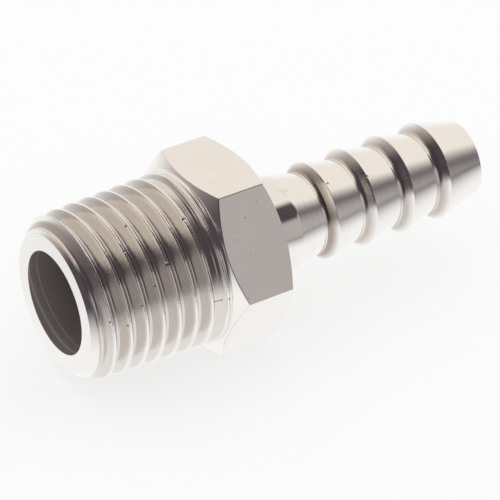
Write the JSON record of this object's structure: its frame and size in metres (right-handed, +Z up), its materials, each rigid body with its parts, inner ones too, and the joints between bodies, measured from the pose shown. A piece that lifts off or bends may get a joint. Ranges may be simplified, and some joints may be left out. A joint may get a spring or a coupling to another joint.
{
  "type": "hose barb tail",
  "caption": "Hose tail turned from one bar: a tapered male pipe thread, a hexagon for the spanner and a barbed spigot for a small hose, bored through from end to end.",
  "frame": {"origin": "centre of the thread-end face, on the axis of the fitting", "axes": "+X along the axis from the thread end to the barb end; +Z up, square to the hexagon flat that the fitting rests on; +Y completes the right-handed frame"},
  "size_m": [0.0362, 0.0162, 0.014],
  "materials": {
    "nickel_plated_brass": "bright nickel plate over turned brass"
  },
  "bodies": {
    "root": {"hose_tail": "nickel_plated_brass"}
  },
  "joints": []
}
